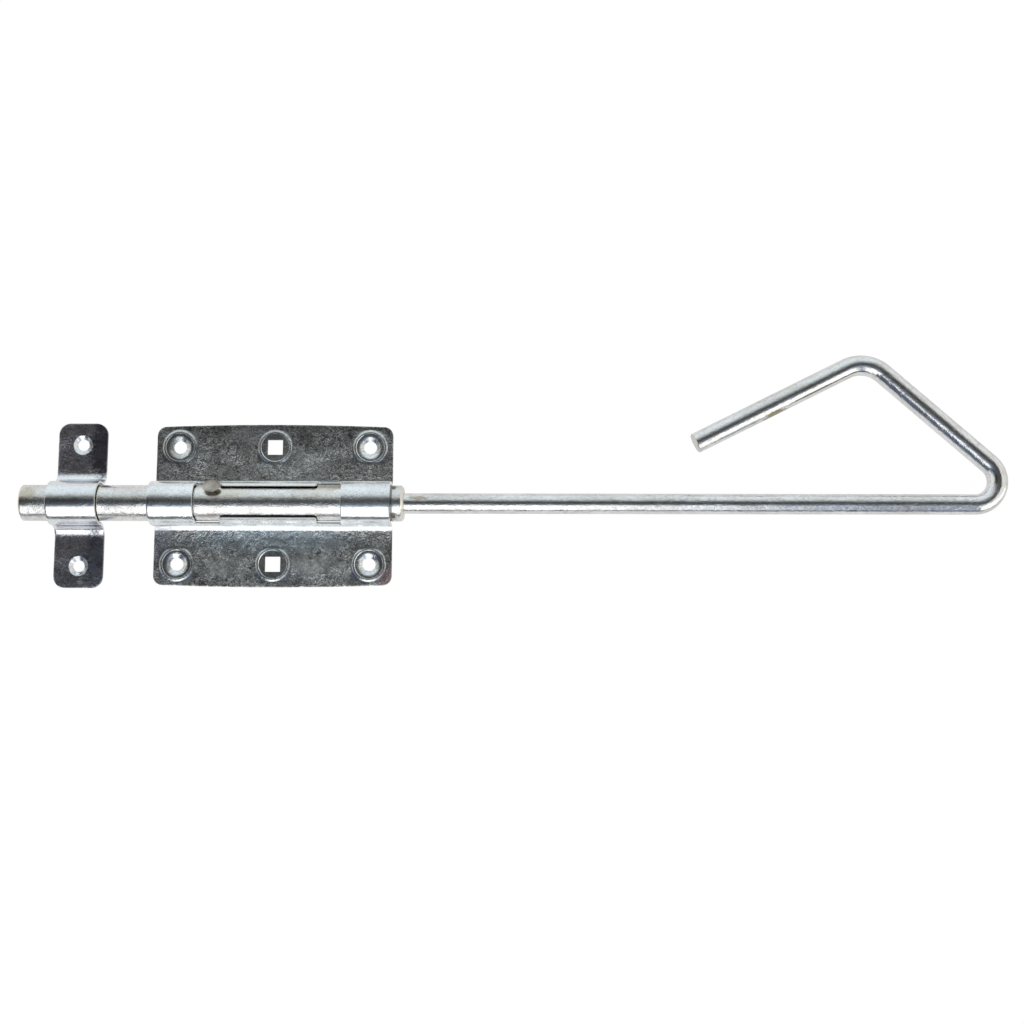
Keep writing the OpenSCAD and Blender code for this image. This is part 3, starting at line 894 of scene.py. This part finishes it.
def buildZincSkin(data):
    # zinc plating: soft clouds, fine grain, light specks, crackle lines and straight scratches
    group, given, result = newGroup(
        "zincSkin",
        [("Vector", "Vector", None), ("Depth", "Float", 0.06), ("Lines", "Float", 1.0)],
        [("Clouds", "Float"), ("Specks", "Float"), ("Strokes", "Float"), ("Lines", "Float"), ("Normal", "Vector")])
    vector = given["Vector"]

    def patches(title):
        look, band = data[title]
        return soften(group, noise(group, vector, *look), *band)

    clouds = patches("clouds")
    specks = calc(group, "MULTIPLY", patches("specks"), patches("speckPlaces"))
    warp = addNode(group, "ShaderNodeTexNoise", None, {"Vector": vector, "Scale": data["warpScale"], "Detail": 2.0})
    warped = vectorCalc(group, "MULTIPLY_ADD", warp.outputs["Color"], (data["warpSize"],) * 3, vector)
    cells = addNode(group, "ShaderNodeTexVoronoi", {"feature": "DISTANCE_TO_EDGE"}, {
        "Vector": warped, "Scale": data["cellScale"]})
    crackle = soften(group, cells.outputs["Distance"], *data["crackleBand"])
    lines = calc(group, "MULTIPLY", crackle, patches("cracklePlaces"))
    # scratches: noise drawn out along a line
    for turn, shift, low in data["scratches"]:
        turned = placed(group, vector, turn=(0, 0, turn))
        drawn = placed(group, turned, scale=data["scratchStretch"], shift=(shift, 0, 0))
        scratch = soften(group, noise(group, drawn, data["scratchScale"], 1.0, 0.5), low, low + data["scratchBand"])
        lines = calc(group, "MAXIMUM", lines, scratch)
    lines = calc(group, "MULTIPLY", lines, given["Lines"])
    height = calc(
        group, "ADD", calc(group, "MULTIPLY", clouds, data["cloudHeight"]),
        calc(group, "MULTIPLY", noise(group, vector, *data["grain"]), patches("uneven")),
        calc(group, "MULTIPLY", noise(group, vector, *data["fine"]), data["fineHeight"]))
    height = calc(group, "SUBTRACT", height, calc(group, "MULTIPLY", lines, data["lineDepth"]))
    bump = addNode(group, "ShaderNodeBump", None, {
        "Strength": 1.0, "Distance": calc(group, "MULTIPLY", given["Depth"], metre), "Height": height})
    for title, value in (("Clouds", clouds), ("Specks", specks), ("Strokes", patches("strokes")), ("Lines", lines),
                         ("Normal", bump.outputs["Normal"])):
        group.links.new(value, result[title])
    return group


wearData = {"noise": (620.0, 3.0, 0.6), "noiseShare": 0.7, "band": (0.95, 1.25)}


def buildEdgeWear(data):
    # rubbed edges: the piece's own edge attribute, broken up by noise
    group, given, result = newGroup("edgeWear", [("Vector", "Vector", None)], [("Wear", "Float")])
    edge = addNode(group, "ShaderNodeAttribute", {"attribute_name": "edge"}).outputs["Fac"]
    broken = calc(group, "MULTIPLY", noise(group, given["Vector"], *data["noise"]), data["noiseShare"])
    group.links.new(soften(group, calc(group, "ADD", edge, broken), *data["band"]), result["Wear"])
    return group


stainAndLightData = {"noise": (420.0, 4.0, 0.65), "noiseShare": 1.8, "band": (0.55, 1.15, 1.0, 0.0)}


def buildStainAndLight(data):
    # soft-edged patch around a place, with a ragged border
    group, given, result = newGroup(
        "stainAndLightPatch",
        [("Vector", "Vector", None), ("Centre", "Vector", (0, 0, 0)), ("Reach", "Vector", (0.01, 0.01, 0.01))],
        [("Mask", "Float")])
    away = vectorCalc(group, "SUBTRACT", given["Vector"], given["Centre"])
    far = vectorCalc(group, "LENGTH", vectorCalc(group, "DIVIDE", away, given["Reach"]), result="Value")
    ragged = calc(group, "SUBTRACT", noise(group, given["Vector"], *data["noise"]), 0.5)
    far = calc(group, "ADD", far, calc(group, "MULTIPLY", ragged, data["noiseShare"]))
    group.links.new(soften(group, far, *data["band"]), result["Mask"])
    return group


zincSkin = buildZincSkin(skinData)
edgeWear = buildEdgeWear(wearData)
stainAndLightPatch = buildStainAndLight(stainAndLightData)

# Values of each finish; each stain, and each patch of painted light and shade, is its centre, reach, colour and
# strength
finishes = {
    "plateZinc": {
        "light": (0.99, 0.99, 0.97),
        "dark": (0.57, 0.56, 0.54),
        "roughness": (0.14, 0.30),
        "depth": 0.23,
        "strokes": 0.80,
        "lines": 1.0,
        "lineColor": (0.20, 0.19, 0.18),
        "speckColor": (0.98, 0.99, 1.0),
        "wearColor": (0.94, 0.96, 0.96),
        "wearRoughness": 0.42,
        # slope of the soft fold: beside the channel, farther out, and its share on the +Y side
        "lean": {"near": 0.58, "nearReach": (0.0108, 0.0130), "far": 0.21, "farReach": (0.0126, 0.0205),
                 "upperShare": 0.22, "begin": (0.0094, 0.0103), "endFade": 0.002, "wall": (0.0032, 0.0055),
                 "wallShare": 0.55, "top": (0.0120, 0.0145), "upward": (-0.3, -0.1), "endwise": (0.4, 0.7)},
        # the flat flanges are mottled, and painted shade darkens them towards their far edges and ends; the channel is
        # smooth and bright
        "flat": {"heights": (0.0020, 0.0046), "pressedShare": 0.25, "channelRoughness": 0.11, "channelDepth": 0.26,
                 "channelTone": (0.93, 0.965, 1.0), "foldEnd": (0.0118, 0.0136), "tone": (1.0, 1.0, 1.0),
                 "edgeShade": 0.38, "edgeY": (0.025, 0.0405), "edgeX": (0.049, 0.0585), "endShade": 0.78},
        "stainsAndLight": [
            ((0.057, -0.037, 0.001), (0.006, 0.008, 0.01), (0.74, 0.50, 0.50), 0.6),
            # painted bluish reflection of the channel on the lower flange beside it
            ((-0.002, -0.0175, 0.001), (0.042, 0.0070, 0.01), (0.72, 0.90, 1.0), 0.45),
            ((0.010, 0.021, 0.001), (0.022, 0.009, 0.01), (0.97, 0.99, 0.98), 0.35),
            ((0.020, -0.031, 0.001), (0.022, 0.007, 0.01), (0.97, 0.99, 1.0), 0.40),
            ((-0.022, -0.030, 0.001), (0.012, 0.007, 0.01), (0.97, 0.99, 1.0), 0.30),
            ((0.052, 0.012, 0.001), (0.008, 0.010, 0.01), (0.50, 0.49, 0.45), 0.45),
            ((-0.054, -0.020, 0.001), (0.006, 0.014, 0.01), (0.40, 0.42, 0.46), 0.7),
            ((-0.053, 0.026, 0.001), (0.008, 0.010, 0.01), (0.33, 0.33, 0.31), 0.6),
            ((-0.010, 0.034, 0.001), (0.016, 0.006, 0.01), (0.36, 0.36, 0.38), 0.55),
        ],
    },
    "keeperZinc": {
        "light": (0.90, 0.91, 0.92),
        "dark": (0.74, 0.74, 0.75),
        "roughness": (0.15, 0.25),
        "depth": 0.17,
        "strokes": 0.5,
        "lines": 0.35,
        "lineColor": (0.30, 0.28, 0.28),
        "speckColor": (0.92, 0.91, 0.93),
        "wearColor": (0.84, 0.82, 0.76),
        "wearRoughness": 0.35,
        "flat": {"heights": (0.0016, 0.0023), "pressedShare": 0.2, "channelRoughness": 0.11, "channelDepth": 0.34,
                 "channelTone": (0.97, 0.99, 1.0), "foldEnd": (0.0140, 0.0160), "tone": (0.80, 0.77, 0.82),
                 "edgeShade": 0.62, "edgeY": (0.032, 0.041), "edgeX": (1.0, 2.0), "endShade": 1.0},
        "stainsAndLight": [
            # painted shade: the right parts of both keeper tabs are made nearly black
            ((-0.0855, 0.029, 0.001), (0.0070, 0.016, 0.01), (0.09, 0.085, 0.105), 0.95),
            ((-0.0865, -0.027, 0.001), (0.0075, 0.016, 0.01), (0.17, 0.18, 0.22), 0.9),
            ((-0.0975, 0.0375, 0.001), (0.010, 0.0035, 0.01), (0.32, 0.29, 0.31), 0.6),
        ],
    },
    "tubeZinc": {
        "light": (0.865, 0.87, 0.86),
        "dark": (0.75, 0.745, 0.725),
        "roughness": (0.12, 0.24),
        "depth": 0.10,
        "strokes": 0.20,
        "lines": 0.3,
        "lineColor": (0.44, 0.40, 0.34),
        "speckColor": (0.93, 0.92, 0.90),
        "wearColor": (0.84, 0.78, 0.66),
        "wearRoughness": 0.15,
        "stretch": (0.85, 1.15, 1.15),
        # beige grime at the left end; dark rings where the tube leaves the keeper and the arches are painted shade of
        # the gaps with grime; beige and brown patches on top; painted shade in the two dents at the right end
        "stainsAndLight": [
            ((-0.1165, 0.003, 0.0175), (0.005, 0.005, 0.006), (0.55, 0.49, 0.37), 0.75),
            # painted shade with grime: thin dark rings at the edges of the keeper and the arches
            ((-0.0828, 0.0, 0.009), (0.0003, 1.0, 1.0), (0.10, 0.09, 0.08), 0.6),
            ((-0.0359, 0.0, 0.009), (0.0003, 1.0, 1.0), (0.14, 0.12, 0.10), 0.5),
            ((0.0588, 0.0, 0.009), (0.0006, 1.0, 1.0), (0.12, 0.10, 0.08), 0.7),
            ((-0.021, 0.005, 0.0165), (0.012, 0.005, 0.006), (0.70, 0.66, 0.57), 0.6),
            ((0.022, 0.0055, 0.0160), (0.011, 0.004, 0.006), (0.72, 0.69, 0.60), 0.55),
            ((-0.029, -0.0068, 0.0147), (0.006, 0.0016, 0.002), (0.66, 0.60, 0.54), 0.6),
            ((0.030, 0.008, 0.013), (0.008, 0.003, 0.006), (0.50, 0.44, 0.35), 0.7),
            # painted shade: the two dents at the right end are darkened
            ((0.0597, 0.0071, 0.0139), (0.0013, 0.0022, 0.002), (0.16, 0.12, 0.09), 0.9),
            ((0.0597, -0.0071, 0.0139), (0.0013, 0.0020, 0.002), (0.18, 0.13, 0.10), 0.9),
        ],
    },
    "rodZinc": {
        "light": (0.86, 0.865, 0.87),
        "dark": (0.74, 0.73, 0.71),
        "roughness": (0.08, 0.15),
        "depth": 0.082,
        "strokes": 0.20,
        "lines": 0.3,
        "lineColor": (0.42, 0.38, 0.33),
        "speckColor": (0.92, 0.92, 0.92),
        "wearColor": (0.66, 0.64, 0.60),
        "wearRoughness": 0.15,
        "ownLay": True,
        "stretch": (0.45, 1.0, 1.0),
        # places along the straightened rod: beside the tube, and under the second leg
        "stainsAndLight": [
            ((0.189, 0.0022, 0.0044), (0.005, 0.0012, 0.002), (0.40, 0.33, 0.25), 0.8),
            ((0.616, 0.0042, 0.0016), (0.007, 0.0019, 0.004), (0.27, 0.22, 0.13), 0.85),
            ((0.588, 0.0036, 0.0035), (0.030, 0.0005, 0.0006), (0.10, 0.10, 0.10), 0.9),
            ((0.636, 0.0038, 0.0032), (0.016, 0.0008, 0.0009), (0.30, 0.36, 0.40), 0.7),
        ],
    },
    "pinZinc": {
        "light": (0.52, 0.49, 0.44),
        "dark": (0.34, 0.31, 0.26),
        "roughness": (0.28, 0.42),
        "depth": 0.09,
        "strokes": 0.3,
        "lines": 0.4,
        "lineColor": (0.25, 0.22, 0.18),
        "speckColor": (0.80, 0.78, 0.72),
        "wearColor": (0.70, 0.66, 0.58),
        "wearRoughness": 0.15,
        "stainsAndLight": [],
    },
}

# Shares that all finishes use
finishData = {
    "foldShare": 0.12,  # how much of the flanges' skin the fold has
    "channelShare": 0.25,  # how much of the clouds and strokes the channel has
    "lineShare": 0.8,
    "speckRoughness": 0.15,
    "stainAndLightRoughness": 0.10,
    # painted shade on the channel's inner face, in the gap round the tube
    "channelInside": {"radii": (0.0094, 0.0099), "tone": 0.05},
}


def softFold(tree, normal, place, lean):
    # the sheet's fold rounds softly into the flange: near it the normal leans away from the channel
    own = addNode(tree, "ShaderNodeTexCoord").outputs["Normal"]
    facing = split(tree, own)
    away = calc(tree, "ABSOLUTE", place["Y"])
    end = lean["farReach"][1]
    slope = calc(tree, "MULTIPLY",
                 calc(tree, "ADD", soften(tree, away, *lean["nearReach"], lean["near"], 0.0),
                      soften(tree, away, *lean["farReach"], lean["far"], 0.0)),
                 soften(tree, place["Y"], -0.001, 0.001, 1.0, lean["upperShare"]),
                 calc(tree, "SIGN", place["Y"]))
    aim = addNode(tree, "ShaderNodeCombineXYZ", None, {"Y": slope, "Z": 1.0}).outputs["Vector"]
    change = vectorCalc(tree, "SUBTRACT", vectorCalc(tree, "NORMALIZE", aim), own)
    change = addNode(tree, "ShaderNodeVectorTransform", {
        "vector_type": "VECTOR", "convert_from": "OBJECT", "convert_to": "WORLD"}, {0: change})
    # only the upper face, beside the channel, half as much on the channel's walls
    mask = calc(tree, "MULTIPLY",
                soften(tree, away, *lean["begin"]),
                soften(tree, away, end, end + lean["endFade"], 1.0, 0.0),
                soften(tree, place["Z"], *lean["wall"], 1.0, lean["wallShare"]),
                soften(tree, place["Z"], *lean["top"], 1.0, 0.0),
                soften(tree, facing["Z"], *lean["upward"]),
                soften(tree, calc(tree, "ABSOLUTE", facing["X"]), *lean["endwise"], 1.0, 0.0))
    scaled = addNode(tree, "ShaderNodeVectorMath", {"operation": "SCALE"}, {0: change.outputs["Vector"], "Scale": mask})
    return vectorCalc(tree, "NORMALIZE", vectorCalc(tree, "ADD", normal, scaled.outputs["Vector"]))


def insideShade(tree, vector, data):
    # painted shade: the channel's inner face round the tube is made nearly black, by the distance from the bolt's axis
    toAxis = (0.0, 0.0, -bolt["axisHeight"] * metre)
    across = vectorCalc(tree, "MULTIPLY_ADD", vector, (0.0, 1.0, 1.0), toAxis)
    return soften(tree, vectorCalc(tree, "LENGTH", across, result="Value"), *data["radii"], data["tone"], 1.0)


def zincFinish(name, data):
    # skin, tones of flange and channel, stains, then worn edges; the values are shares or metres
    material = bpy.data.materials.new(name)
    material.use_nodes = True
    tree = material.node_tree
    if data.get("ownLay"):
        vector = addNode(tree, "ShaderNodeAttribute", {"attribute_name": "lay"}).outputs["Vector"]
    else:
        vector = addNode(tree, "ShaderNodeTexCoord").outputs["Object"]
    drawn = placed(tree, vector, scale=data["stretch"]) if "stretch" in data else vector
    flat = data.get("flat")
    depth, lines = data["depth"], data["lines"]
    if flat:
        place = split(tree, vector)
        pressed = addNode(tree, "ShaderNodeAttribute", {"attribute_name": "pressed"}).outputs["Fac"]
        flange = calc(tree, "MULTIPLY", soften(tree, place["Z"], *flat["heights"], 1.0, 0.0),
                      ramp(tree, pressed, 0.0, 1.0, 1.0, flat["pressedShare"]),
                      soften(tree, calc(tree, "ABSOLUTE", place["Y"]), *flat["foldEnd"], finishData["foldShare"], 1.0))
        depth = calc(tree, "MULTIPLY", ramp(tree, flange, 0.0, 1.0, flat["channelDepth"], 1.0), depth)
        lines = calc(tree, "MULTIPLY", flange, lines)
    skin = useGroup(tree, zincSkin, {"Vector": drawn, "Depth": depth, "Lines": lines})
    clouds, specks = skin["Clouds"], skin["Specks"]
    strokeTone = ramp(tree, skin["Strokes"], 0.0, 1.0, 1.0 - data["strokes"], 1.0)
    if flat:
        share = ramp(tree, flange, 0.0, 1.0, finishData["channelShare"], 1.0)
        strokeTone = calc(tree, "MULTIPLY", calc(tree, "SUBTRACT", strokeTone, 1.0), share)
        strokeTone = calc(tree, "ADD", strokeTone, 1.0)
        clouds = calc(tree, "MULTIPLY", clouds, share)
        specks = calc(tree, "MULTIPLY", specks, flange)
    color = mixColor(tree, clouds, data["light"], data["dark"])
    color = mixColor(tree, 1.0, color, strokeTone, "MULTIPLY")
    color = mixColor(tree, specks, color, data["speckColor"])
    color = mixColor(tree, calc(tree, "MULTIPLY", skin["Lines"], finishData["lineShare"]), color, data["lineColor"])
    rough = ramp(tree, clouds, 0.0, 1.0, *data["roughness"])
    if flat:
        # painted shade: the flanges' colour darkens towards their far edges and ends
        acrossShade = ramp(tree, place["Y"], *flat["edgeY"], 1.0, flat["edgeShade"])
        alongShade = ramp(tree, calc(tree, "ABSOLUTE", place["X"]), *flat["edgeX"], 1.0, flat["endShade"])
        tonedAndShaded = mixColor(tree, 1.0, color, flat["tone"], "MULTIPLY")
        tonedAndShaded = mixColor(tree, 1.0, tonedAndShaded, calc(tree, "MULTIPLY", acrossShade, alongShade), "MULTIPLY")
        color = mixColor(tree, flange, mixColor(tree, 1.0, color, flat["channelTone"], "MULTIPLY"), tonedAndShaded)
        smooth = flat["channelRoughness"]
        rough = calc(tree, "MULTIPLY", calc(tree, "SUBTRACT", rough, smooth), flange)
        rough = calc(tree, "ADD", rough, smooth)
    rough = calc(tree, "ADD", rough, calc(tree, "MULTIPLY", specks, finishData["speckRoughness"]))
    for centre, reach, tint, strength in data["stainsAndLight"]:
        mask = useGroup(tree, stainAndLightPatch, {"Vector": vector, "Centre": centre, "Reach": reach})["Mask"]
        amount = calc(tree, "MULTIPLY", mask, strength)
        color = mixColor(tree, amount, color, tint)
        rough = calc(tree, "ADD", rough, calc(tree, "MULTIPLY", amount, finishData["stainAndLightRoughness"]))
    wear = useGroup(tree, edgeWear, {"Vector": vector})["Wear"]
    color = mixColor(tree, wear, color, data["wearColor"])
    # painted shade: the channel's inner face is darkened
    if flat:
        color = mixColor(tree, 1.0, color, insideShade(tree, vector, finishData["channelInside"]), "MULTIPLY")
    rough = calc(tree, "ADD", rough, calc(tree, "MULTIPLY", wear, data["wearRoughness"]), clamp=True)
    normal = softFold(tree, skin["Normal"], place, data["lean"]) if "lean" in data else skin["Normal"]
    shader = tree.nodes["Principled BSDF"]
    shader.inputs["Metallic"].default_value = 1.0
    for title, value in (("Base Color", color), ("Roughness", rough), ("Normal", normal)):
        tree.links.new(value, shader.inputs[title])
    return material


for piece, finish in ((plate, "plateZinc"), (keeper, "keeperZinc"), (tube, "tubeZinc"), (rod, "rodZinc"), (pin, "pinZinc")):
    piece.data.materials.append(zincFinish(finish, finishes[finish]))
print("finishes ready")

bpy.context.scene.view_settings.view_transform = "Standard"
